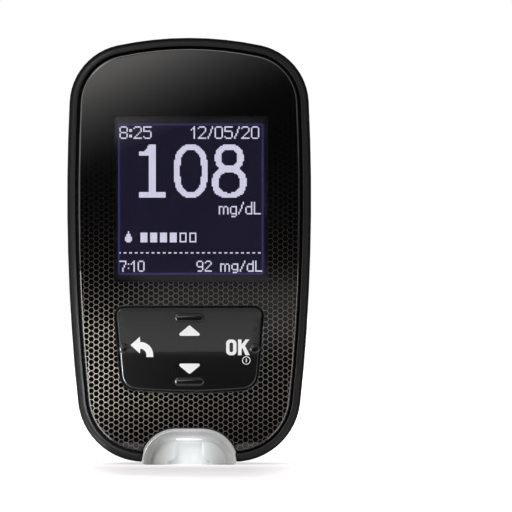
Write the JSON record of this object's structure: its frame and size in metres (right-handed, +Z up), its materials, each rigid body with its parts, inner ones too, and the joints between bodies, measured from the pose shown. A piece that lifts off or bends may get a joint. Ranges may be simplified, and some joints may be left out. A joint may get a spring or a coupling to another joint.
{
  "type": "blood glucose meter",
  "caption": "Handheld blood glucose meter with a dot-matrix screen, one rocking key plate, a lit strip port, a side strip ejector and a coin-cell battery door.",
  "frame": {"origin": "on the standing surface, under the middle of the body's bounding box", "axes": "+X to the right as seen from the front, +Y to the back, +Z up along the body from the strip port to the top; the screen faces -Y"},
  "size_m": [0.0466, 0.02, 0.0815],
  "materials": {
    "case_front": "fine satin texture, dark grey",
    "case_rear": "fine matt texture, near black",
    "face_gloss": "high gloss black with a printed honeycomb",
    "window_clear": "clear gloss pane",
    "frame_black": "satin black",
    "screen_glass": "dark indigo dot-matrix glass",
    "light_guide": "milky white",
    "tray_white": "plain white",
    "flex_amber": "satin amber film",
    "key_gloss": "high gloss black with white printed symbols",
    "silicone": "soft matt silicone",
    "steel": "bright stainless steel",
    "board_green": "green solder mask",
    "chip_black": "moulded epoxy",
    "can_metal": "plated metal can",
    "ceramic_tan": "fired ceramic with plated ends",
    "brass_disc": "plain brass disc",
    "port_white": "milky translucent white",
    "lamp_white": "clear white lamp",
    "connector_cream": "heat-proof moulding",
    "contact_gold": "gold-plated spring metal",
    "button_dark": "satin dark grey",
    "acetal": "waxy natural acetal",
    "label_film": "blank satin label film"
  },
  "bodies": {
    "meter": {"front_case": "case_front", "rear_case": "case_rear", "face_plate": "face_gloss", "display_window": "window_clear", "display_frame": "frame_black", "lcd_panel": "screen_glass", "lcd_backlight": "light_guide", "lcd_tray": "tray_white", "lcd_flex": "flex_amber", "keypad_frame": "silicone", "dome_switches": "steel", "main_board": "board_green", "processor": "chip_black", "memory_chip": "chip_black", "radio_module": "can_metal", "clock_crystal": "can_metal", "board_capacitors": "ceramic_tan", "piezo_sounder": "brass_disc", "strip_port": "port_white", "port_lamps": "lamp_white", "strip_connector": "connector_cream", "strip_contacts": "contact_gold", "ejector_spring": "steel", "usb_shell": "steel", "usb_tongue": "chip_black", "coin_cell_left": "steel", "coin_cell_right": "steel", "cell_springs": "contact_gold", "cell_clip": "contact_gold", "case_screws": "steel", "rear_label": "label_film"},
    "key_mat": {"keypad_pad": "silicone"},
    "key": {"key_plate": "key_gloss"},
    "ejector_button": {"ejector_button": "button_dark"},
    "ejector_slider": {"ejector_slider": "acetal"},
    "battery_door": {"battery_door": "case_rear"}
  },
  "joints": [
    {"name": "key_left_right", "type": "hinge", "parent": "meter", "child": "key_mat", "pos_m": [0, -0.00445, 0.022], "axis": [0, 0, 1], "range_deg": [-1.5, 1.5], "stiffness_Nm_per_rad": 0.7},
    {"name": "key_up_down", "type": "hinge", "parent": "key_mat", "child": "key", "pos_m": [0, -0.008, 0.022], "axis": [1, 0, 0], "range_deg": [-2.5, 2.5], "stiffness_Nm_per_rad": 0.27},
    {"name": "ejector_press", "type": "slide", "parent": "meter", "child": "ejector_button", "axis": [-1, 0, 0], "range_m": [0, 0.0018], "stiffness_N_per_m": 20, "springref_m": -0.001},
    {"name": "ejector_slide", "type": "slide", "parent": "meter", "child": "ejector_slider", "axis": [0, 0, -1], "range_m": [0, 0.0018], "stiffness_N_per_m": 400, "springref_m": -0.001, "deforming": ["ejector_spring"]},
    {"name": "battery_door_hinge", "type": "hinge", "parent": "meter", "child": "battery_door", "pos_m": [0, 0.0094, 0.0482], "axis": [-1, 0, 0], "range_deg": [0, 75]}
  ],
  "couplings": [
    {"joint": "ejector_slide", "follows": "ejector_press", "ratio": 1}
  ]
}
